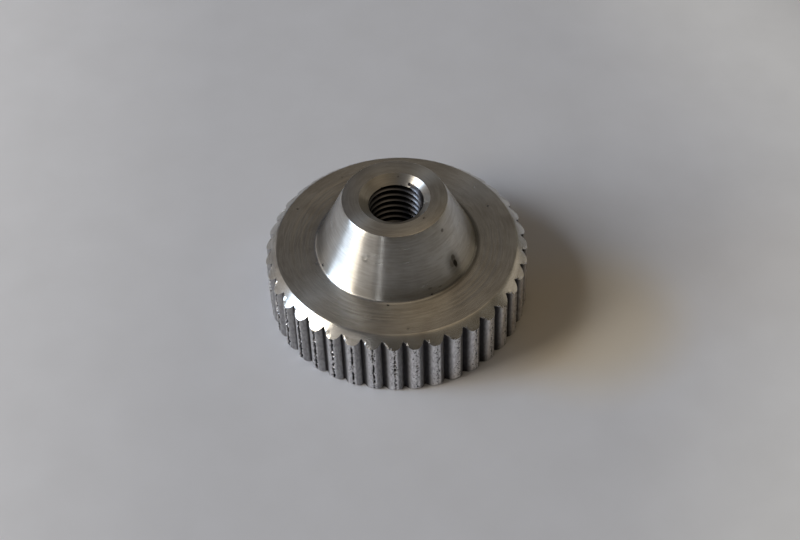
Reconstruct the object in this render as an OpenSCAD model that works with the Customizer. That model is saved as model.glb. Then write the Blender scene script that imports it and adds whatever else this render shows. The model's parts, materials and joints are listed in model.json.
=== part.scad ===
// Knurled nut turned from one bar of aluminium: a thick disc with a straight
// knurl round its rim, a conical hub on one face and a threaded hole right
// through. Millimetres. The origin is at the centre of the flat underside, and
// +Z runs up the hole, out at the nose of the hub.

/* [Rim] */
// Diameter of the rim, over the tips of its teeth
rim_d = 36; // [34:0.5:44]
// Thickness of the rim, from the underside to the upper face
rim_t = 10; // [6:0.25:16]
// Width and height of the 45 degree chamfer between the teeth and the upper face
rim_chamfer = 1.5; // [1:0.1:2.5]
// Width and height of the bevel between the teeth and the underside
base_bevel = 0.35; // [0.1:0.05:0.7]

/* [Knurl] */
// Number of teeth round the rim
tooth_count = 39; // [30:1:41]
// Radius of the rounded tip of a tooth
tip_r = 1.25; // [0.9:0.05:1.3]
// Width of the flat land that turning left on each tip
land_w = 0.5; // [0.2:0.05:0.8]
// Width of the narrow floor of a gap
root_w = 0.12; // [0.05:0.01:0.24]
// Slope of a tooth's long flank, from the rim's tangent
long_flank_deg = 39; // [34:1:45]
// Slope of a tooth's short flank, from the rim's tangent
short_flank_deg = 60; // [46:1:64]
// Direction of the middle of the first gap, from +X
first_gap_deg = -88.2; // [-180:0.1:180]

/* [Hub] */
// Diameter of the cone at the upper face of the rim
hub_base_d = 22; // [19:0.25:28]
// Diameter of the cone at its nose
hub_nose_d = 14.2; // [12.4:0.1:18]
// Height of the cone above the rim's upper face
hub_h = 8.7; // [5:0.1:14]
// Radius of the fillet between the cone and the rim's upper face
hub_fillet_r = 0.5; // [0.2:0.05:1]
// Radius of the broken edge between the cone and the nose
nose_edge_r = 0.15; // [0.05:0.05:0.5]

/* [Hole] */
// Clear diameter of the hole, over the crests of its thread
hole_d = 6.9; // [5:0.05:7.6]
// Diameter of the countersink in the nose
nose_sink_d = 9.6; // [8.2:0.1:11]
// Depth of the countersink in the nose
nose_sink_h = 1; // [0.4:0.1:2]
// Diameter of the countersink in the underside
base_sink_d = 8.8; // [8:0.1:11]
// Depth of the countersink in the underside
base_sink_h = 0.9; // [0.4:0.1:2]

/* [Hidden] */

$fn = 96;

nut_h = rim_t + hub_h;
rim_r = rim_d / 2;
hub_base_r = hub_base_d / 2;
hub_nose_r = hub_nose_d / 2;

// Lean of the cone's side from the axis. The fillet at its foot and the broken
// edge at its nose both turn through what is left of a right angle, and each
// starts this far from its sharp corner.
cone_deg = atan((hub_base_r - hub_nose_r) / hub_h);
fillet_run = hub_fillet_r * tan((90 - cone_deg) / 2);
edge_run = nose_edge_r * tan((90 - cone_deg) / 2);

// How far the cutters reach out past the surfaces that they open.
over = rim_t / 20;
// How far inside a tip's arc a flank ends, so that it crosses the arc cleanly.
bite = tip_r / 125;

// The knurl. Neighbouring tips stand one pitch apart, half a pitch to each side
// of the gap between them. A tip's arc rises past the rim by a hair, and the
// turned rim cuts it off to the land.
pitch_deg = 360 / tooth_count;
tip_centre_r = rim_r - sqrt(tip_r * tip_r - land_w * land_w / 4);

function polar(r, deg) = [r * cos(deg), r * sin(deg)];

// Centres of the tips on both sides of a gap that lies along +X, with the
// direction that each flank faces and its distance from the axis.
long_tip = polar(tip_centre_r, pitch_deg / 2);
short_tip = polar(tip_centre_r, -pitch_deg / 2);
long_out = polar(1, -long_flank_deg);
short_out = polar(1, short_flank_deg);
long_wall = long_tip * long_out + tip_r;
short_wall = short_tip * short_out + tip_r;

// Where the flanks would meet in a sharp V, and how far above that the floor
// is as wide as it should be.
vee = [
    long_wall * sin(short_flank_deg) + short_wall * sin(long_flank_deg),
    short_wall * cos(long_flank_deg) - long_wall * cos(short_flank_deg)
] / sin(long_flank_deg + short_flank_deg);
long_run = 1 / tan(long_flank_deg);
short_run = 1 / tan(short_flank_deg);
floor_rise = root_w / (long_run + short_run);

// Half of the turned section, out from the axis. The chords at the foot and at
// the nose of the cone become arcs.
module turned_section() {
    difference() {
        polygon([
            [0, 0],
            [rim_r - base_bevel, 0],
            [rim_r, base_bevel],
            [rim_r, rim_t - rim_chamfer],
            [rim_r - rim_chamfer, rim_t],
            [hub_base_r + fillet_run, rim_t],
            [hub_base_r - fillet_run * sin(cone_deg), rim_t + fillet_run * cos(cone_deg)],
            [hub_nose_r + edge_run * sin(cone_deg), nut_h - edge_run * cos(cone_deg)],
            [hub_nose_r - edge_run, nut_h],
            [0, nut_h]
        ]);
        translate([hub_base_r + fillet_run, rim_t + hub_fillet_r])
            circle(r = hub_fillet_r);
    }
    translate([hub_nose_r - edge_run, nut_h - nose_edge_r])
        circle(r = nose_edge_r);
}

// Section of one gap between two teeth: a V with a narrow floor, whose flanks
// run out into the rounded tips on both sides.
module gap_section() {
    difference() {
        polygon([
            vee + floor_rise * [1, long_run],
            long_tip + (tip_r - bite) * long_out,
            polar(rim_r, pitch_deg / 2),
            polar(rim_r + over, pitch_deg / 2),
            polar(rim_r + over, -pitch_deg / 2),
            polar(rim_r, -pitch_deg / 2),
            short_tip + (tip_r - bite) * short_out,
            vee + floor_rise * [1, -short_run]
        ]);
        translate(long_tip) circle(r = tip_r);
        translate(short_tip) circle(r = tip_r);
    }
}

// The straight knurl's gaps, which run the whole thickness of the rim and out
// through the chamfer and the bevel.
module knurl_gaps() {
    for (i = [0 : tooth_count - 1])
        rotate([0, 0, first_gap_deg + i * pitch_deg])
            translate([0, 0, -over])
                linear_extrude(height = rim_t + 2 * over)
                    gap_section();
}

// The hole at the clear size of its thread, with a countersink at both ends.
module threaded_hole() {
    translate([0, 0, -over])
        cylinder(h = nut_h + 2 * over, d = hole_d);
    countersink(base_sink_d, base_sink_h);
    translate([0, 0, nut_h])
        mirror([0, 0, 1])
            countersink(nose_sink_d, nose_sink_h);
}

// A cone that opens downwards at height 0, carried on below it.
module countersink(mouth_d, depth) {
    flare = (mouth_d - hole_d) / depth;
    translate([0, 0, -over])
        cylinder(h = depth + over, d1 = mouth_d + flare * over, d2 = hole_d);
}

module nut_body() {
    color("silver")
        difference() {
            rotate_extrude() turned_section();
            knurl_gaps();
            threaded_hole();
        }
}

nut_body();
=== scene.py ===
"""A knurled nut turned from one bar of aluminium, standing on its flat face.

The nut is one closed mesh, worked in millimetres. Four turned profiles are spun
about Z: the rim, which the knurl is then pressed into, the hub, the underside
and the tapped hole. They are joined across the flat faces between them.
"""
import json
from math import atan2, cos, degrees, hypot, pi, radians, sin, sqrt, tan

import bmesh
import bpy
from mathutils import Matrix, Vector, noise


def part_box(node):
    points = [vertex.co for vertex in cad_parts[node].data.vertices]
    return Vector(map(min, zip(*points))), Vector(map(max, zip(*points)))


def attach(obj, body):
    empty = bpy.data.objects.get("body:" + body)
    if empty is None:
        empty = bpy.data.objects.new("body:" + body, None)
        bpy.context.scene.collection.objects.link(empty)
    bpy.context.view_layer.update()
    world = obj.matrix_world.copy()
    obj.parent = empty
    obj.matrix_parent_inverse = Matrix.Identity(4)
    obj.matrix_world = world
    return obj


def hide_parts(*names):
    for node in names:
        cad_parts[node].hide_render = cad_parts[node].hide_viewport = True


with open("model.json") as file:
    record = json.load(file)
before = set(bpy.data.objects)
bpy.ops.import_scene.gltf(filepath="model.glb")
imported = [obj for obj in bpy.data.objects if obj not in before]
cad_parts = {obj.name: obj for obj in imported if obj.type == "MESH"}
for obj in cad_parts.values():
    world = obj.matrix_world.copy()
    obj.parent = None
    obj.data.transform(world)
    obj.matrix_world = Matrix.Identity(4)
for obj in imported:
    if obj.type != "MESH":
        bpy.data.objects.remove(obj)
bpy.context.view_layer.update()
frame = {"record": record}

MM = 0.001
TINY = 0.002

# ---------------------------------------------------------------- sizes, mm
# The overall size and the hole come from the frame.
low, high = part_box("nut_body")
mounts = {mount["name"]: mount for mount in frame["record"]["mounts"]}
RIM_R = high.x / MM
NUT_H = high.z / MM
HOLE_R = mounts["stud_hole"]["dims"]["r_mm"]

RIM_T = 10.0
CHAMFER = 1.5
CHAMFER_EDGE_W = 0.04
BASE_BEVEL = 0.35

HUB_BASE_R = 11.0
HUB_NOSE_R = 7.1
FILLET_R = 0.5
NOSE_EDGE_R = 0.15
NOSE_SINK_R = 4.8
NOSE_SINK_H = 1.0
BASE_SINK_R = 4.4
BASE_SINK_H = 0.9

# The spun parts end at these radii on the flat faces, and a ring is filled between them.
FACE_R = RIM_R - CHAMFER
RIM_END_R = FACE_R - 0.3
HUB_START_R = FACE_R - 0.6
NOSE_END_R = NOSE_SINK_R + 0.5
UNDERSIDE_R = (16.6, 14.0, 11.0, 8.0, 5.0)

# The straight knurl: round-tipped teeth that lean, with a long and a short flank. A tip's arc
# has its middle at the tip centre, each flank's line passes the axis at the distance of its
# wall, and the two would meet in a vee but for the narrow floor of the gap.
TOOTH_COUNT = 39
PITCH = 2 * pi / TOOTH_COUNT
FIRST_GAP = radians(-88.2)
TIP_R = 1.25
LAND_W = 0.5
ROOT_W = 0.12
LONG_FLANK = radians(39)
SHORT_FLANK = radians(60)
TIP_CENTRE = RIM_R - sqrt(TIP_R**2 - LAND_W**2 / 4)
LONG_WALL = TIP_CENTRE * cos(PITCH / 2 + LONG_FLANK) + TIP_R
SHORT_WALL = TIP_CENTRE * cos(PITCH / 2 + SHORT_FLANK) + TIP_R
VEE = (
    LONG_WALL * sin(SHORT_FLANK) + SHORT_WALL * sin(LONG_FLANK)
) / sin(LONG_FLANK + SHORT_FLANK)
GAP_FLOOR = VEE + ROOT_W / (1 / tan(LONG_FLANK) + 1 / tan(SHORT_FLANK))

# The thread: a fine one of 24 turns to the inch, right-handed.
THREAD_PITCH = 25.4 / 24
THREAD_DEPTH = 0.52
ROOT_HEIGHT = -0.04
# Points from one root to the next: share of the pitch, and share of the depth.
THREAD_POINTS = (
    (-1 / 16, 1), (1 / 16, 1), (0.16, 0.69), (0.27, 0.34),
    (3 / 8, 0), (0.5, 0), (5 / 8, 0), (0.73, 0.34), (0.84, 0.69),
)

# Shallow rings that the tool left on the upper face: radius, half width, depth.
FACE_RINGS = (
    (15.1, 0.2, 0.006),
    (14.0, 0.2, 0.022),
    (13.5, 0.16, 0.017),
    (12.9, 0.24, 0.028),
    (12.1, 0.12, 0.008),
)

# ---------------------------------------------------------------- mesh
# Steps round each profile, and the columns of the knurl between two gaps.
HUB_STEPS = 192
THREAD_STEPS = 96
COLUMNS = (
    0, 0.025, 0.06, 0.1, 0.14, 0.18, 0.22, 0.26, 0.3, 0.34,
    0.38, 0.42, 0.455, 0.48, 0.5, 0.518, 0.535, 0.552, 0.57, 0.59,
    0.615, 0.65, 0.7, 0.76, 0.82, 0.88, 0.93, 0.975,
)
# Rows of the knurl: how many up its wall, and at which shares of the chamfer.
WALL_TOP = RIM_T - CHAMFER
WALL_ROWS = 44
CHAMFER_ROWS = (0.002, 0.12, 0.3, 0.6267, 0.8, 0.975)

# Edges that turn less than this are shaded as smooth.
SMOOTH_TURN = radians(20)
# Open edges are looked for this far outside the ring that is filled between them.
FILL_MARGIN = 0.1
# The chamfer's faces look up by more than this, and none has its middle further below the
# line of the cut, or the upper face, than these.
LOOKS_UP = 0.5
BELOW_CUT = 0.02
BELOW_FACE = 0.06

# Where grime has settled with painted shade, and where the knurl tore the metal, from 0 to 1.
LAYERS = ("grime_and_shade", "torn")
TURNED, KNURLED, TAPPED = 0, 1, 2


# ---------------------------------------------------------------- knurl
def tooth_radius(share):
    """Radius of the knurl at a share of the pitch, from the middle of one gap to the next."""
    turn = share * PITCH if share <= 0.5 else (share - 1) * PITCH
    from_tip = PITCH / 2 - abs(turn)
    wall, flank = (LONG_WALL, LONG_FLANK) if turn >= 0 else (SHORT_WALL, SHORT_FLANK)
    # The flank meets the arc where its own normal passes through the tip's middle.
    meets = atan2(
        TIP_CENTRE * sin(PITCH / 2) - TIP_R * sin(flank),
        TIP_CENTRE * cos(PITCH / 2) + TIP_R * cos(flank),
    )
    if abs(turn) < meets:
        return max(wall / cos(abs(turn) + flank), GAP_FLOOR / cos(turn))
    on_arc = TIP_CENTRE * cos(from_tip) + sqrt(TIP_R**2 - (TIP_CENTRE * sin(from_tip)) ** 2)
    return min(on_arc, RIM_R)


def smooth_step(low_end, high_end, value):
    """0 as far as the low end, 1 from the high end on. Either end may be the greater one."""
    share = min(max((value - low_end) / (high_end - low_end), 0), 1)
    return share * share * (3 - 2 * share)


def wave(*place):
    """Smooth noise between -1 and 1 at a place. The faster the place moves, the finer it is."""
    return noise.noise(Vector(place))


# Pressing the knurl folds the metal over each tip, and leaves a ragged seam there. The two
# depths are in millimetres, and the rest are shares of the pitch: where the seam lies, how
# wide a strip follows its wandering, how far it wanders, and its half width and its lip.
SEAM_SHARE = 0.535
SEAM_SPREAD = 0.14
SEAM_WANDER = 0.026
SEAM_HALF_W = 0.022
SEAM_LIP = 0.022
SEAM_DEPTH = 0.3
PIT_DEPTH = 0.05
# This much of the strip follows less and less, towards its edge.
SEAM_FADE = 0.6
# How torn the metal is close to a seam, and on the rest of the crest.
TORN_BY_SEAM = 0.85
TORN_ON_CREST = 0.5

# The knurl tore the metal most round this side of the nut. There the seams gape, by a measure
# that falls to the least one on the other side, and from tooth to tooth varies by a little.
TORN_SIDE = radians(-168)
GAPE_SLOPE = 1.2
GAPE_OFFSET = 0.42
LEAST_GAPE = -0.4
GAPE_VARIES = 0.16

# Strength of the grime and painted shade in the gaps, in closed seams and on the short flanks.
# The flanks get more painted shade the further they lie from the torn side, by the windows.
GAP_GRIME_AND_SHADE = 0.94
SEAM_GRIME_AND_SHADE = 0.3
FLANK_GRIME_AND_SHADE = 0.69
FLANK_GRIME_AND_SHADE_SLOPE = 0.3
FLANK_GRIME_AND_SHADE_RANGE = (0.5, 0.78)

# The chamfer's tool left a burr along the long flank of each gap, of about this width and
# height. It made the chamfer in two cuts, which meet this far out and this much proud. Where
# a gap cuts into them, the chamfer's rows draw in to a share of the way to that meeting.
BURR_W = 0.24
BURR_H = 0.06
CUTS_MEET_R = 17.06
CUTS_MEET_PROUD = 0.05
OUTER_ROWS_DRAW = 0.55
INNER_ROWS_DRAW = 0.8
# The burr is at most this share of the way in to that meeting, and the wall under it ends
# lower by this share of its width.
BURR_ROOM = 0.6
BURR_DROP = 0.25


def seam_shift(height, tooth):
    """How far the seam wanders sideways at a height, as a share of the pitch."""
    sway = wave(height * 0.7, tooth * 7.3, 0) + 0.8 * wave(height * 2.3, tooth * 3.7, 5)
    return SEAM_WANDER * (sway + 0.5 * wave(height * 4.9, tooth * 1.9, 8))


def on_torn_side(tooth):
    """1 at the side of the nut where the knurl tore it most, down to -1 at the other side."""
    return cos(FIRST_GAP + (tooth + 0.5) * PITCH - TORN_SIDE)


def seam_gape(tooth):
    """How far a seam gapes: it is open on the torn side of the nut, and closed up elsewhere."""
    gape = max(GAPE_SLOPE * on_torn_side(tooth) - GAPE_OFFSET, LEAST_GAPE)
    return gape + GAPE_VARIES * wave(tooth * 1.37, 4.4, 2)


def seam_half_width(height, tooth):
    """Half the width of a seam at a height, as a share of the pitch."""
    gape = seam_gape(tooth)
    wider = 1 + (3.6 * gape if gape > 0 else 0.9) * gape
    return SEAM_HALF_W * wider * (1 + 1.3 * wave(height * 2.9, tooth * 1.7, 4))


def seam_depth(height, tooth):
    """Depth of a seam at a height, in millimetres. Here and there it is closed."""
    tears = wave(height * 1.9, tooth * 5.1, 9) + 0.7 * wave(height * 4.7, tooth * 2.9, 3)
    return SEAM_DEPTH * smooth_step(-0.12, 0.1, tears + seam_gape(tooth))


def burr_at(share, tooth):
    """Width of the burr where the knurl meets the chamfer, and the way that it leans."""
    on_long_flank = smooth_step(0.02, 0.1, share) * smooth_step(0.46, 0.38, share)
    ragged = min(max(0.6 + 1.2 * wave(share * 23, tooth * 4.1, 7), 0.12), 1.1)
    lean = LONG_FLANK + 0.15 + 0.6 * wave(share * 9, tooth * 2.3, 1)
    return BURR_W * on_long_flank * ragged, lean


def burr_lip(share, tooth):
    """How far the burr stands up from the chamfer, most of it close to the gap."""
    beside_gap = smooth_step(0.04, 0.12, share) * smooth_step(0.34, 0.14, share)
    return BURR_H * beside_gap * min(max(0.8 + wave(share * 15, tooth * 3.3, 6), 0.3), 1)


def chamfer_height(radius):
    """Height of the chamfer's surface at a radius."""
    inner = (radius - FACE_R) / (CUTS_MEET_R - FACE_R)
    outer = (RIM_R - radius) / (RIM_R - CUTS_MEET_R)
    return RIM_T + FACE_R - radius + CUTS_MEET_PROUD * max(min(inner, outer), 0)


def wall_grime_and_shade(share, from_seam, height, tooth):
    """Grime and painted shade on the knurl's wall: in the gap, on the short flank and in the seam.
    """
    half_w = seam_half_width(height, tooth)
    opened = seam_depth(height, tooth) / SEAM_DEPTH
    # Grime and painted shade fill the open seam and reach over its lips.
    by_open_seam = smooth_step(half_w + 1.4 * SEAM_LIP, half_w + 0.3 * SEAM_LIP, from_seam)
    in_seam = smooth_step(half_w + SEAM_LIP, half_w, from_seam)
    in_gap = max(smooth_step(0.36, 0.08, share), smooth_step(0.84, 0.92, share))
    on_short_flank = smooth_step(0.62, 0.72, share)
    least, most = FLANK_GRIME_AND_SHADE_RANGE
    # Painted shade: the short flanks are darker the further they lie from the torn side.
    on_flanks = min(max(FLANK_GRIME_AND_SHADE - FLANK_GRIME_AND_SHADE_SLOPE * on_torn_side(tooth), least), most)
    return max(
        opened * by_open_seam,
        SEAM_GRIME_AND_SHADE * in_seam,
        GAP_GRIME_AND_SHADE * in_gap,
        on_flanks * on_short_flank,
    )


def press_knurl(rim):
    """Moves the points of the turned rim on to the knurl."""
    grime_and_shade = rim.verts.layers.float["grime_and_shade"]
    torn = rim.verts.layers.float["torn"]
    column_turn = PITCH / len(COLUMNS)
    for vert in rim.verts:
        turned_r = hypot(vert.co.x, vert.co.y)
        height = vert.co.z
        on_wall = height < WALL_TOP + TINY
        column = round(atan2(vert.co.y, vert.co.x) / column_turn) % (TOOTH_COUNT * len(COLUMNS))
        tooth, place = divmod(column, len(COLUMNS))
        share = COLUMNS[place]

        # Columns near the tip follow the seam sideways, and the wall sinks into it.
        from_seam = abs(share - SEAM_SHARE)
        swept = min(max(1 - from_seam / SEAM_SPREAD, 0) / SEAM_FADE, 1)
        moved = share + seam_shift(min(height, WALL_TOP), tooth) * swept
        angle = FIRST_GAP + (tooth + moved) * PITCH
        radius = tooth_radius(moved)
        if on_wall:
            half_w = seam_half_width(height, tooth)
            in_seam = smooth_step(half_w + SEAM_LIP, half_w, from_seam)
            pits = wave(share * 9 + tooth * 5, height * 2.6, 2)
            pits += wave(share * 17, height * 5.5, tooth)
            near_seam = smooth_step(0.16, 0.05, from_seam)
            on_crest = smooth_step(0.28, 0.14, from_seam)
            radius -= seam_depth(height, tooth) * in_seam + PIT_DEPTH * near_seam * max(0, pits)
            # This layer holds grime together with painted shade.
            vert[grime_and_shade] = wall_grime_and_shade(share, from_seam, height, tooth)
            vert[torn] = max(TORN_BY_SEAM * near_seam, TORN_ON_CREST * on_crest)

        burr, lean = burr_at(share, tooth)
        burr = min(burr, max(BURR_ROOM * (radius - CUTS_MEET_R), 0))
        top = WALL_TOP + RIM_R - radius
        foot = max(0, radius - (RIM_R - BASE_BEVEL))
        if turned_r < FACE_R - TINY and height > WALL_TOP:
            spot = Vector((turned_r, 0, height))
        elif height < BASE_BEVEL - TINY:
            spot = Vector((min(radius, RIM_R - BASE_BEVEL), 0, 0))
        elif on_wall:
            rise = (height - BASE_BEVEL) / (WALL_TOP - BASE_BEVEL)
            spot = Vector((radius, 0, foot + (top - BURR_DROP * burr - foot) * rise))
        elif height < WALL_TOP + CHAMFER / 10:
            # The chamfer's first row is the burr, which turns with the flank that it stands on.
            spot = Vector((radius - burr * cos(lean), burr * sin(lean), 0))
            spot.z = chamfer_height(spot.xy.length) + burr_lip(share, tooth)
        else:
            # The other rows draw in where the gap cuts into them.
            draw = OUTER_ROWS_DRAW if turned_r > RIM_R - CHAMFER / 5 else INNER_ROWS_DRAW
            turned_r = min(turned_r, radius + (CUTS_MEET_R - radius) * draw)
            spot = Vector((turned_r, 0, chamfer_height(turned_r)))
        vert.co = Matrix.Rotation(angle, 3, "Z") @ spot


# ---------------------------------------------------------------- turning
def spin_profile(points, steps, rise=0.0, sectors=1):
    """Spins a profile of (radius, height) points once round Z, climbing by rise.

    Sectors makes one sector first, and then copies it round.
    """
    part = bmesh.new()
    for name in LAYERS:
        part.verts.layers.float.new(name)
    verts = [part.verts.new((radius, 0, height)) for radius, height in points]
    edges = [part.edges.new(pair) for pair in zip(verts, verts[1:])]
    about_axis = {"cent": (0, 0, 0), "axis": (0, 0, 1)}
    sector = 2 * pi / sectors
    bmesh.ops.spin(
        part,
        geom=verts + edges,
        dvec=(0, 0, rise / steps),
        angle=sector,
        steps=steps // sectors,
        **about_axis,
    )
    if sectors > 1:
        bmesh.ops.spin(
            part,
            geom=part.verts[:] + part.edges[:] + part.faces[:],
            angle=sector * (sectors - 1),
            steps=sectors - 1,
            use_duplicate=True,
            **about_axis,
        )
    bmesh.ops.remove_doubles(part, verts=part.verts, dist=TINY / 4)
    return part


def arc(centre, radius, start, end, steps):
    """Points on a circle of the profile, between two angles in degrees."""
    return [
        (
            centre[0] + radius * cos(radians(start + (end - start) * i / steps)),
            centre[1] + radius * sin(radians(start + (end - start) * i / steps)),
        )
        for i in range(steps + 1)
    ]


def rim_profile():
    """Up the rim from its bevel, which the knurl is pressed into later."""
    wall_h = WALL_TOP - BASE_BEVEL
    wall = [(RIM_R, BASE_BEVEL + wall_h * i / WALL_ROWS) for i in range(WALL_ROWS + 1)]
    chamfer = [(RIM_R - CHAMFER * share, WALL_TOP + CHAMFER * share) for share in CHAMFER_ROWS]
    edge = [(FACE_R - CHAMFER_EDGE_W, RIM_T), (RIM_END_R, RIM_T)]
    return [(RIM_R - BASE_BEVEL, 0)] + wall + chamfer + edge


def hub_profile():
    """In across the upper face and its rings, then up the cone to the nose."""
    cone_lean = atan2(HUB_BASE_R - HUB_NOSE_R, NUT_H - RIM_T)
    fillet_run = FILLET_R * tan((pi / 2 - cone_lean) / 2)
    edge_run = NOSE_EDGE_R * tan((pi / 2 - cone_lean) / 2)
    face = [(HUB_START_R, RIM_T)]
    for radius, half_w, depth in FACE_RINGS:
        face += [(radius + half_w, RIM_T), (radius, RIM_T - depth), (radius - half_w, RIM_T)]
    lean = degrees(cone_lean)
    fillet_at = (HUB_BASE_R + fillet_run, RIM_T + FILLET_R)
    fillet = arc(fillet_at, FILLET_R, 270, 180 + lean, 5)
    edge_at = (HUB_NOSE_R - edge_run, NUT_H - NOSE_EDGE_R)
    edge = arc(edge_at, NOSE_EDGE_R, lean, 90, 3)
    foot, nose = fillet[-1], edge[0]
    cone = [
        (foot[0] + (nose[0] - foot[0]) * share, foot[1] + (nose[1] - foot[1]) * share)
        for share in (i / 10 for i in range(1, 10))
    ]
    return face + fillet + cone + edge + [(NOSE_END_R, NUT_H)]


def sink_radius(height):
    """Radius of the countersinks at a height, or less than the hole's where they don't reach."""
    nose = HOLE_R + (height - NUT_H + NOSE_SINK_H) * (NOSE_SINK_R - HOLE_R) / NOSE_SINK_H
    base = HOLE_R + (BASE_SINK_H - height) * (BASE_SINK_R - HOLE_R) / BASE_SINK_H
    return max(nose, base)


def thread_profile():
    """One line up the wall of the hole, over the crests and roots of the thread."""
    return [
        (HOLE_R + THREAD_DEPTH * depth, ROOT_HEIGHT + turn * THREAD_PITCH + share * THREAD_PITCH)
        for turn in range(-2, int(NUT_H / THREAD_PITCH) + 3)
        for share, depth in THREAD_POINTS
    ]


def tapped_hole():
    """The thread, opened out by the countersinks and cut off flat at both faces."""
    hole = spin_profile(thread_profile(), THREAD_STEPS, rise=THREAD_PITCH)
    # A point next to where the thread runs into a countersink slides on to that edge.
    slides = {}
    for edge in hole.edges:
        first, second = edge.verts
        if abs(first.co.cross(second.co).z) > TINY:
            continue
        gaps = [vert.co.xy.length - sink_radius(vert.co.z) for vert in (first, second)]
        if gaps[0] * gaps[1] < 0:
            share = gaps[0] / (gaps[0] - gaps[1])
            near = first if share < 0.5 else second
            slides[near] = first.co.lerp(second.co, share)
    for vert, place in slides.items():
        vert.co = place
    for vert in hole.verts:
        radius = vert.co.xy.length
        wider = max(radius, sink_radius(vert.co.z)) / radius
        vert.co.x *= wider
        vert.co.y *= wider
    for height, outside in ((0, -1), (NUT_H, 1)):
        bmesh.ops.bisect_plane(
            hole,
            geom=hole.verts[:] + hole.edges[:] + hole.faces[:],
            plane_co=(0, 0, height),
            plane_no=(0, 0, outside),
            clear_outer=True,
        )
    bmesh.ops.remove_doubles(hole, verts=hole.verts, dist=TINY / 4)
    return hole


def fill_ring(nut, height, inner, outer):
    """Closes the flat ring between two open edges that lie at one height."""
    inner, outer = inner - FILL_MARGIN, outer + FILL_MARGIN
    rims = [
        edge
        for edge in nut.edges
        if edge.is_boundary
        and all(abs(vert.co.z - height) < TINY for vert in edge.verts)
        and all(inner < vert.co.xy.length < outer for vert in edge.verts)
    ]
    bmesh.ops.triangle_fill(nut, edges=rims, normal=(0, 0, 1), use_beauty=True)


def add_part(nut, part, finish):
    """Adds a spun part to the nut, with the number of its finish."""
    for face in part.faces:
        face.material_index = finish
    mesh = bpy.data.meshes.new("part")
    part.to_mesh(mesh)
    part.free()
    nut.from_mesh(mesh)
    bpy.data.meshes.remove(mesh)


def set_finishes(nut):
    """Gives the turned finish to the chamfer and the countersinks too."""
    for face in nut.faces:
        middle = face.calc_center_median()
        along_cut = middle.xy.length + middle.z > RIM_R + WALL_TOP - BELOW_CUT
        by_face = middle.z > RIM_T - BELOW_FACE
        on_chamfer = face.normal.z > LOOKS_UP and (along_cut or by_face)
        in_sink = middle.xy.length < sink_radius(middle.z) + TINY
        if face.material_index == KNURLED and on_chamfer:
            face.material_index = TURNED
        if face.material_index == TAPPED and in_sink:
            face.material_index = TURNED


def build_nut(finishes):
    """The nut's mesh: the four spun parts, joined into one closed body."""
    nut = bmesh.new()
    for name in LAYERS:
        nut.verts.layers.float.new(name)
    rim = spin_profile(rim_profile(), TOOTH_COUNT * len(COLUMNS), sectors=TOOTH_COUNT)
    press_knurl(rim)
    add_part(nut, rim, KNURLED)
    add_part(nut, spin_profile(hub_profile(), HUB_STEPS), TURNED)
    add_part(nut, spin_profile([(radius, 0) for radius in UNDERSIDE_R], HUB_STEPS), TURNED)
    add_part(nut, tapped_hole(), TAPPED)
    fill_ring(nut, RIM_T, HUB_START_R, RIM_END_R)
    fill_ring(nut, NUT_H, NOSE_SINK_R, NOSE_END_R)
    fill_ring(nut, 0, UNDERSIDE_R[0], RIM_R)
    fill_ring(nut, 0, BASE_SINK_R, UNDERSIDE_R[-1])
    bmesh.ops.remove_doubles(nut, verts=nut.verts, dist=TINY / 4)
    bmesh.ops.recalc_face_normals(nut, faces=nut.faces)
    set_finishes(nut)
    for face in nut.faces:
        face.smooth = True
    for edge in nut.edges:
        edge.smooth = edge.calc_face_angle(0) < SMOOTH_TURN
    bmesh.ops.scale(nut, vec=(MM, MM, MM), verts=nut.verts)
    mesh = bpy.data.meshes.new("knurled_nut")
    nut.to_mesh(mesh)
    nut.free()
    for finish in finishes:
        mesh.materials.append(finish)
    return mesh


# ---------------------------------------------------------------- materials
# Some inputs go by number. Map Range: 0 is read, from 1 to 2, and given from 3 to 4. Mix: 0 is
# the share, 2 and 3 are values, and 6 and 7 are colours. Its colour comes out at 2.

# How far noise bends the outlines of small marks, in millimetres.
RAGGED = 0.2


def tone(hex_colour):
    """A linear colour from an sRGB hex value."""
    channels = [int(hex_colour[i : i + 2], 16) / 255 for i in (1, 3, 5)]
    linear = [c / 12.92 if c <= 0.04045 else ((c + 0.055) / 1.055) ** 2.4 for c in channels]
    return (*linear, 1.0)


def feed(tree, node, inputs):
    """Gives each input a value, or links it to a socket or to a node's first output."""
    for name, value in inputs.items():
        if isinstance(value, bpy.types.Node):
            value = value.outputs[0]
        if isinstance(value, bpy.types.NodeSocket):
            tree.links.new(value, node.inputs[name])
        else:
            node.inputs[name].default_value = value


def add(tree, kind, inputs=None, **settings):
    """Adds a node with its settings and inputs."""
    made = tree.nodes.new("ShaderNode" + kind)
    for name, value in settings.items():
        setattr(made, name, value)
    feed(tree, made, inputs or {})
    return made


def new_finish(name):
    """A material with its shader, and its place on the object in millimetres."""
    finish = bpy.data.materials.new(name)
    finish.use_nodes = True
    tree = finish.node_tree
    place = add(tree, "TexCoord").outputs["Object"]
    in_mm = add(tree, "VectorMath", {0: place, "Scale": 1 / MM}, operation="SCALE")
    return finish, tree, tree.nodes["Principled BSDF"], in_mm


def turning_place(tree, in_mm):
    """Radius and height as a place, so that a pattern runs round the axis."""
    flat = add(tree, "VectorMath", {0: in_mm, 1: (1, 1, 0)}, operation="MULTIPLY")
    radius = add(tree, "VectorMath", {0: flat}, operation="LENGTH")
    split = add(tree, "SeparateXYZ", {0: in_mm})
    return add(tree, "CombineXYZ", {"X": radius.outputs["Value"], "Y": split.outputs["Z"]})


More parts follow.
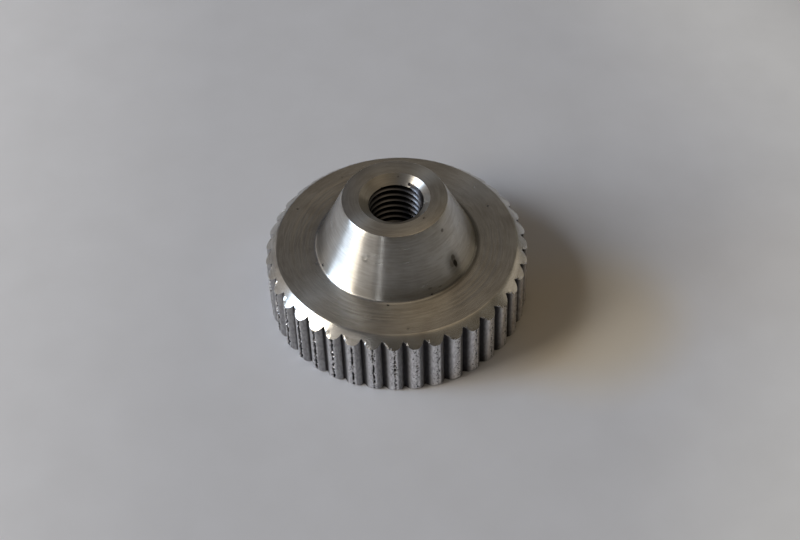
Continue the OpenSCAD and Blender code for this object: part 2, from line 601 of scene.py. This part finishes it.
def smear_place(tree, in_mm, rings):
    """A place that stretches a pattern into short dashes along the turning marks."""
    across = add(tree, "VectorMath", {0: rings, 1: (5.0, 6.5, 0)}, operation="DOT_PRODUCT")
    along = add(tree, "VectorMath", {0: in_mm, 1: (0.45, 0.45, 0)}, operation="MULTIPLY")
    lift = add(tree, "CombineXYZ", {"Z": across.outputs["Value"]})
    return add(tree, "VectorMath", {0: along, 1: lift}, operation="ADD")


def marks(tree, in_mm, places):
    """A mask of small marks with ragged outlines. Each has a radius, an azimuth in degrees and
    a height, half its width and half its height, and its strength."""
    bend = add(tree, "TexNoise", {"Vector": in_mm, "Scale": 2.2, "Detail": 2.0})
    middle = {0: bend.outputs["Color"], 1: (0.5, 0.5, 0.5)}
    bend = add(tree, "VectorMath", middle, operation="SUBTRACT")
    bend = add(tree, "VectorMath", {0: bend, "Scale": RAGGED}, operation="SCALE")
    bent = add(tree, "VectorMath", {0: in_mm, 1: bend}, operation="ADD")
    mask = 0.0
    for radius, azimuth, height, half_w, half_h, strength in places:
        here = (radius * cos(radians(azimuth)), radius * sin(radians(azimuth)), height)
        stretch = (1 / half_w, 1 / half_w, 1 / half_h)
        away = add(tree, "VectorMath", {0: bent, 1: here}, operation="SUBTRACT")
        away = add(tree, "VectorMath", {0: away, 1: stretch}, operation="MULTIPLY")
        far = add(tree, "VectorMath", {0: away}, operation="LENGTH").outputs["Value"]
        inside = add(tree, "MapRange", {0: far, 1: 1.25, 2: 0.6, 3: 0.0, 4: strength})
        mask = add(tree, "Math", {0: mask, 1: inside}, operation="MAXIMUM")
    return mask


# Grit pressed into the turned faces, a blot low on the cone, and dents that came with use.
SPECKS = (
    (15.33, 152.5, 10.0, 0.16, 0.16, 0.7),
    (11.45, -162.6, 10.0, 0.15, 0.15, 0.8),
    (10.85, -158.0, 10.4, 0.26, 0.2, 1.0),
    (11.4, -97.0, 10.0, 0.17, 0.16, 1.0),
    (10.9, -65.5, 10.25, 0.17, 0.16, 1.0),
    (15.55, -85.8, 10.0, 0.14, 0.13, 0.6),
    (14.38, 25.7, 10.0, 0.17, 0.15, 0.8),
    (5.39, -45.8, 18.7, 0.15, 0.14, 0.8),
    (14.96, 119.4, 10.0, 0.14, 0.14, 0.5),
    (11.52, -142.8, 10.0, 0.14, 0.14, 0.7),
    (15.11, 41.6, 10.0, 0.14, 0.13, 0.4),
    (4.37, 82.3, 18.38, 0.15, 0.15, 0.5),
    (10.5, -66.0, 11.1, 0.3, 0.14, 0.4),
    (10.65, -58.0, 10.8, 0.35, 0.12, 0.35),
    (10.9, -30.0, 10.4, 0.4, 0.2, 0.3),
    (7.78, -38.0, 17.18, 0.3, 0.26, 0.55),
    (8.7, -119.0, 15.0, 0.4, 0.3, 0.4),
    (8.4, -116.0, 15.7, 0.3, 0.2, 0.25),
)
BLOT = (
    (9.98, -38.8, 12.2, 0.4, 1.1, 0.9),
    (9.8, -41.8, 12.5, 0.6, 1.0, 0.5),
    (9.65, -38.8, 13.0, 0.5, 0.8, 0.65),
    (9.88, -40.2, 12.5, 1.2, 1.7, 0.38),
)
DENTS = (
    (7.78, -38.0, 17.18, 0.3, 0.26, 1.0),
    (8.7, -119.9, 15.3, 0.34, 0.2, 0.5),
    (7.1, -165.7, 18.7, 0.22, 0.22, 1.0),
)


def foot_and_sink_darkening(tree, radius, height, on_cone, in_sink):
    """Darker most in the countersink, then low on the cone, and painted shade on the face by the
    cone.
    """
    low = add(tree, "MapRange", {0: height, 1: 10.4, 2: 14.5, 3: 0.36, 4: 0.1})
    cone = add(tree, "Math", {0: low, 1: on_cone}, operation="MULTIPLY")
    on_face = add(tree, "MapRange", {0: height, 1: 10.2, 2: 10.1})
    near_cone = add(tree, "MapRange", {0: radius, 1: 15.0, 2: 11.4, 3: 0.0, 4: 0.08})
    face = add(tree, "Math", {0: on_face, 1: near_cone}, operation="MULTIPLY")
    darkening = add(tree, "Math", {0: cone, 1: face}, operation="MAXIMUM")
    return add(tree, "Math", {0: in_sink, 1: darkening}, operation="MAXIMUM")


def corner_shade(tree, in_mm, rings):
    """Painted shade in the corner at the foot of the cone, on the +X side only."""
    corner = (HUB_BASE_R + 0.1, RIM_T + 0.1, 0)
    away = add(tree, "VectorMath", {0: rings, 1: corner}, operation="DISTANCE")
    in_corner = add(tree, "MapRange", {0: away.outputs["Value"], 1: 0.55, 2: 0.2})
    side = add(tree, "SeparateXYZ", {0: in_mm}).outputs["X"]
    on_side = add(tree, "MapRange", {0: side, 1: 0.0, 2: 7.0, 3: 0.0, 4: 0.65})
    return add(tree, "Math", {0: in_corner, 1: on_side}, operation="MULTIPLY")


def turned_aluminium():
    """Aluminium off the lathe: bright, with fine rings that draw each glint out across them.

    The real feed marks are 0.05 mm apart. They are drawn three times as coarse, to show.
    """
    finish, tree, shader, in_mm = new_finish("turned_aluminium")
    rings = turning_place(tree, in_mm)
    where = add(tree, "SeparateXYZ", {0: rings})
    radius, height = where.outputs["X"], where.outputs["Y"]
    dashes = smear_place(tree, in_mm, rings)
    feed_marks = add(tree, "TexNoise", {"Vector": rings, "Scale": 6.0, "Detail": 3.0})
    bands = add(tree, "TexNoise", {"Vector": rings, "Scale": 1.1, "Detail": 3.0})
    patches = add(tree, "TexNoise", {"Vector": in_mm, "Scale": 0.35, "Detail": 4.0})
    smears = add(tree, "TexNoise", {"Vector": dashes, "Scale": 1.0, "Detail": 3.0})
    specks = marks(tree, in_mm, SPECKS + BLOT)
    dents = marks(tree, in_mm, DENTS)

    above_face = add(tree, "MapRange", {0: height, 1: RIM_T + 0.05, 2: RIM_T + 0.5})
    outside_nose = {0: radius, 1: HUB_NOSE_R - 0.2, 2: HUB_NOSE_R + 0.1}
    outside_nose = add(tree, "MapRange", outside_nose)
    on_cone = add(tree, "Math", {0: above_face, 1: outside_nose}, operation="MULTIPLY")
    # Darker and rougher in the countersink.
    in_sink = {0: radius, 1: NOSE_SINK_R + 0.05, 2: NOSE_SINK_R - 0.05, 3: 0.0, 4: 0.42}
    in_sink = add(tree, "MapRange", in_sink)

    shades = add(tree, "Mix", {0: 0.55, 2: patches, 3: smears})
    shade = add(tree, "MapRange", {0: shades, 1: 0.38, 2: 0.6})
    tones = {0: shade, 6: tone("#c6c3be"), 7: tone("#e0dfdc")}
    metal = add(tree, "Mix", tones, data_type="RGBA")
    # Darker in the countersink and low on the cone, with painted shade on the face next to the
    # cone.
    darkening = foot_and_sink_darkening(tree, radius, height, on_cone, in_sink)
    tones = {0: darkening, 6: metal.outputs[2], 7: tone("#85817b")}
    darkened_metal = add(tree, "Mix", tones, data_type="RGBA")
    # Dark specks, and painted shade in the corner at the foot of the cone.
    dirt_and_shade = corner_shade(tree, in_mm, rings)
    dark = add(tree, "Math", {0: specks, 1: dirt_and_shade}, operation="MAXIMUM")
    tones = {0: dark, 6: darkened_metal.outputs[2], 7: tone("#2a2623")}
    colour = add(tree, "Mix", tones, data_type="RGBA")

    streaks = add(tree, "Mix", {0: 0.5, 2: bands, 3: smears})
    on_flat = add(tree, "MapRange", {0: streaks, 1: 0.35, 2: 0.65, 3: 0.265, 4: 0.245})
    on_lean = add(tree, "MapRange", {0: streaks, 1: 0.35, 2: 0.65, 3: 0.325, 4: 0.27})
    rough = add(tree, "Mix", {0: on_cone, 2: on_flat, 3: on_lean})
    rough = add(tree, "Mix", {0: in_sink, 2: rough, 3: 0.52})
    rough = add(tree, "Math", {0: rough, 1: specks}, operation="MAXIMUM")

    rippled = {"Height": feed_marks, "Strength": 0.35, "Distance": 0.00001}
    rippled = add(tree, "Bump", rippled)
    dented = {"Height": dents, "Strength": 1.0, "Distance": 0.00003, "Normal": rippled}
    dented = add(tree, "Bump", dented, invert=True)
    feed(
        tree,
        shader,
        {
            "Base Color": colour.outputs[2],
            "Metallic": 1.0,
            "Roughness": rough,
            "Normal": dented,
            "Anisotropic": 0.85,
            "Anisotropic Rotation": 0.25,
            "Tangent": add(tree, "Tangent", direction_type="RADIAL", axis="Z"),
        },
    )
    return finish


def knurled_aluminium():
    """Aluminium pressed by a knurling wheel: pitted crests, grime and painted shade in seams and
    gaps.
    """
    finish, tree, shader, in_mm = new_finish("knurled_aluminium")
    grime_and_shade = add(tree, "Attribute", attribute_name="grime_and_shade").outputs["Fac"]
    torn = add(tree, "Attribute", attribute_name="torn").outputs["Fac"]
    drawn = add(tree, "VectorMath", {0: in_mm, 1: (1, 1, 0.4)}, operation="MULTIPLY")
    grain = add(tree, "TexNoise", {"Vector": drawn, "Scale": 3.5, "Detail": 4.0})
    pits = add(tree, "TexNoise", {"Vector": in_mm, "Scale": 3.6, "Detail": 3.0})
    tears = add(tree, "Math", {0: torn, 1: 0.14, 2: pits}, operation="MULTIPLY_ADD")
    pit = add(tree, "MapRange", {0: tears, 1: 0.66, 2: 0.75, 3: 0.0, 4: 0.85})
    # Grime and painted shade from the mesh, and pits, darken the metal.
    dirt_and_shade = add(tree, "Math", {0: grime_and_shade, 1: pit}, operation="MAXIMUM")

    shade = add(tree, "MapRange", {0: grain, 1: 0.36, 2: 0.6})
    tones = {0: shade, 6: tone("#cbc9cb"), 7: tone("#ebeaeb")}
    metal = add(tree, "Mix", tones, data_type="RGBA")
    tones = {0: dirt_and_shade, 6: metal.outputs[2], 7: tone("#1c191f")}
    colour = add(tree, "Mix", tones, data_type="RGBA")
    rough = add(tree, "MapRange", {0: dirt_and_shade, 1: 0.0, 2: 1.0, 3: 0.34, 4: 0.75})
    relief = add(tree, "Math", {0: grain, 1: pit}, operation="SUBTRACT")
    bump = add(tree, "Bump", {"Height": relief, "Strength": 0.8, "Distance": 0.00004})
    feed(
        tree,
        shader,
        {"Base Color": colour.outputs[2], "Metallic": 1.0, "Roughness": rough, "Normal": bump},
    )
    return finish


def tapped_aluminium():
    """Aluminium cut by a tap: torn a little, darker in its roots, and with painted shade down the
    hole.
    """
    finish, tree, shader, in_mm = new_finish("tapped_aluminium")
    rings = turning_place(tree, in_mm)
    where = add(tree, "SeparateXYZ", {0: rings})
    chatter = add(tree, "TexNoise", {"Vector": rings, "Scale": 6.0, "Detail": 2.0})
    stains = add(tree, "TexNoise", {"Vector": in_mm, "Scale": 0.8, "Detail": 3.0})
    # Darker in the roots of the thread, and painted shade deeper down the hole.
    root = {0: where.outputs["X"], 1: HOLE_R + 0.03, 2: HOLE_R + 0.25, 3: 0.0, 4: 0.88}
    in_root = add(tree, "MapRange", root)
    deep = add(tree, "MapRange", {0: where.outputs["Y"], 1: 17.5, 2: 10.0, 3: 0.0, 4: 0.6})
    dirt_and_shade = add(tree, "Math", {0: deep, 1: in_root}, operation="MAXIMUM")

    tones = {0: stains, 6: tone("#5d5d61"), 7: tone("#88888c")}
    metal = add(tree, "Mix", tones, data_type="RGBA")
    tones = {0: dirt_and_shade, 6: metal.outputs[2], 7: tone("#1c1919")}
    colour = add(tree, "Mix", tones, data_type="RGBA")
    bump = add(tree, "Bump", {"Height": chatter, "Strength": 0.3, "Distance": 0.00001})
    feed(
        tree,
        shader,
        {"Base Color": colour.outputs[2], "Metallic": 1.0, "Roughness": 0.25, "Normal": bump},
    )
    return finish


def floor_paper():
    """Matt pale paper with a faint lilac cast. Painted shade darkens it a hand's breadth from the
    nut.
    """
    finish, tree, shader, in_mm = new_finish("floor_paper")
    side = add(tree, "SeparateXYZ", {0: in_mm}).outputs["X"]
    centred = add(tree, "VectorMath", {0: in_mm, 1: (8, -12, 0)}, operation="ADD")
    away = add(tree, "VectorMath", {0: centred}, operation="LENGTH").outputs["Value"]

    # Painted light and shade: darker by the nut, paler to both sides, palest in the +X corners.
    sideways = add(tree, "VectorMath", {0: in_mm, 1: (1, 0, 0)}, operation="MULTIPLY")
    sideways = add(tree, "VectorMath", {0: sideways}, operation="LENGTH").outputs["Value"]
    painted_light_to_sides = add(tree, "MapRange", {0: sideways, 1: 28.0, 2: 62.0})
    tones = {0: painted_light_to_sides, 6: tone("#cdced4"), 7: tone("#e2e2e6")}
    paper = add(tree, "Mix", tones, data_type="RGBA")
    to_right = add(tree, "MapRange", {0: side, 1: 15.0, 2: 45.0, 3: 0.0, 4: 0.5})
    far = add(tree, "MapRange", {0: away, 1: 54.0, 2: 76.0})
    corner = add(tree, "Math", {0: to_right, 1: far}, operation="MULTIPLY")
    tones = {0: corner, 6: paper.outputs[2], 7: tone("#f4f4f4")}
    paper = add(tree, "Mix", tones, data_type="RGBA")

    # Painted light in the nut's shadow: a warm patch beside the nut.
    beside = add(tree, "VectorMath", {0: in_mm, 1: (-26, 7, 0)}, operation="ADD")
    beside = add(tree, "VectorMath", {0: beside}, operation="LENGTH").outputs["Value"]
    near = {0: beside, 1: 17.5, 2: 6.0, 3: 0.0, 4: 1.0}
    warm_painted_light = add(tree, "MapRange", near, interpolation_type="SMOOTHSTEP")
    tones = {0: warm_painted_light, 6: paper.outputs[2], 7: tone("#d0c8bc")}
    paper = add(tree, "Mix", tones, data_type="RGBA")

    # Cloudy pulp, and then painted shade in the dark beyond.
    pulp = add(tree, "TexNoise", {"Vector": in_mm, "Scale": 0.12, "Detail": 4.0})
    cloudy = add(tree, "MapRange", {0: pulp, 1: 0.3, 2: 0.7, 3: 0.0, 4: 0.08})
    tones = {0: cloudy, 6: paper.outputs[2], 7: tone("#9a9794")}
    paper = add(tree, "Mix", tones, data_type="RGBA")
    painted_shade_fade = add(tree, "MapRange", {0: away, 1: 79.0, 2: 122.0}, interpolation_type="SMOOTHSTEP")
    tones = {0: painted_shade_fade, 6: paper.outputs[2], 7: tone("#5e5a55")}
    colour = add(tree, "Mix", tones, data_type="RGBA")
    feed(tree, shader, {"Base Color": colour.outputs[2], "Roughness": 0.9})
    return finish


# ---------------------------------------------------------------- scene
# Half the width of the floor, in metres.
FLOOR_HALF = 3.0

# The camera looks down by this angle and leans by the other, both in degrees. From the nut it
# stands this many rim radii off to the side, up and back.
CAMERA_DOWN = 48.08
CAMERA_LEAN = -2.21
CAMERA_AT = (0.0145, 0.1605, 13.995)
LENS = 80.3

# Rectangles of light that face the nut from one distance: azimuth and elevation in degrees,
# width and height in metres, radiance, colour, and how far they are rolled in degrees.
LAMP_DISTANCE = 1.2
LAMPS = {
    "window_sky": (181.6, 26.5, 0.35, 0.95, 8.1, "#d4e8ff", 14),
    "window_wall": (198.6, 26.5, 0.35, 0.95, 8.1, "#fff5e4", 14),
    "curtain": (161, 27, 0.42, 0.95, 0.45, "#fff4e6", 0),
    "doorway": (-136, 20, 0.58, 0.8, 0.48, "#fff6ea", 0),
    "door_gap": (-114.5, 14, 0.05, 0.5, 2.4, "#ffffff", 0),
    "lit_wall": (18, 13, 0.75, 0.4, 0.36, "#fff0d8", 0),
    "back_wall": (140, 14, 0.5, 0.45, 0.25, "#fff4e6", 0),
    "bounce": (-10, 76, 0.95, 0.95, 0.13, "#ffedd2", 0),
}


def add_object(name, data):
    """Adds an object to the scene."""
    made = bpy.data.objects.new(name, data)
    bpy.context.scene.collection.objects.link(made)
    return made


def add_floor():
    """A wide sheet of paper under the nut."""
    floor = bmesh.new()
    bmesh.ops.create_grid(floor, x_segments=1, y_segments=1, size=FLOOR_HALF)
    mesh = bpy.data.meshes.new("floor")
    floor.to_mesh(mesh)
    floor.free()
    mesh.materials.append(floor_paper())
    add_object("floor", mesh)


def add_lamp(name, azimuth, elevation, width, height, radiance, colour, roll):
    """Adds one rectangle of light, which looks back at the nut."""
    lamp = bpy.data.lights.new(name, "AREA")
    lamp.shape = "RECTANGLE"
    lamp.size = width
    lamp.size_y = height
    lamp.energy = radiance * pi * width * height
    lamp.color = tone(colour)[:3]
    turn, rise = radians(azimuth), radians(elevation)
    away = Vector((cos(turn) * cos(rise), sin(turn) * cos(rise), sin(rise)))
    rolled = Matrix.Rotation(radians(roll), 3, "Z")
    made = add_object(name, lamp)
    made.location = away * LAMP_DISTANCE
    made.rotation_euler = (away.to_track_quat("Z", "Y").to_matrix() @ rolled).to_euler()


def add_camera():
    """The camera, with the clipping brought close enough for so small a thing."""
    camera = bpy.data.cameras.new("camera")
    camera.lens = LENS
    camera.clip_start = 0.01
    tilt = Matrix.Rotation(radians(90 - CAMERA_DOWN), 4, "X")
    lean = Matrix.Rotation(radians(CAMERA_LEAN), 4, "Z")
    made = add_object("camera", camera)
    made.matrix_world = tilt @ lean @ Matrix.Translation(Vector(CAMERA_AT) * RIM_R * MM)
    bpy.context.scene.camera = made


def add_room():
    """A dim room round the nut: cool on the left, warmer on the right and above it."""
    world = bpy.data.worlds.new("dim_room")
    world.use_nodes = True
    tree = world.node_tree
    way = add(tree, "TexCoord").outputs["Generated"]
    split = add(tree, "SeparateXYZ", {0: way})
    to_right = add(tree, "MapRange", {0: split.outputs["X"], 1: -0.35, 2: 0.4})
    tones = {0: to_right, 6: tone("#48494e"), 7: tone("#605a4f")}
    sides = add(tree, "Mix", tones, data_type="RGBA")
    up_high = add(tree, "MapRange", {0: split.outputs["Z"], 1: 0.68, 2: 0.85})
    high_right = add(tree, "Math", {0: to_right, 1: up_high}, operation="MULTIPLY")
    tones = {0: high_right, 6: sides.outputs[2], 7: tone("#8f806a")}
    sides = add(tree, "Mix", tones, data_type="RGBA")
    to_front = add(tree, "MapRange", {0: split.outputs["Y"], 1: -0.3, 2: -0.9})
    tones = {0: to_front, 6: sides.outputs[2], 7: tone("#47443f")}
    colour = add(tree, "Mix", tones, data_type="RGBA")
    feed(tree, tree.nodes["Background"], {"Color": colour.outputs[2]})
    bpy.context.scene.world = world


add_camera()
add_room()
for name, lamp in LAMPS.items():
    add_lamp(name, *lamp)
add_floor()
nut = add_object("nut", build_nut([turned_aluminium(), knurled_aluminium(), tapped_aluminium()]))
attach(nut, "root")
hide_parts("nut_body")

bpy.context.scene.view_settings.view_transform = "Standard"
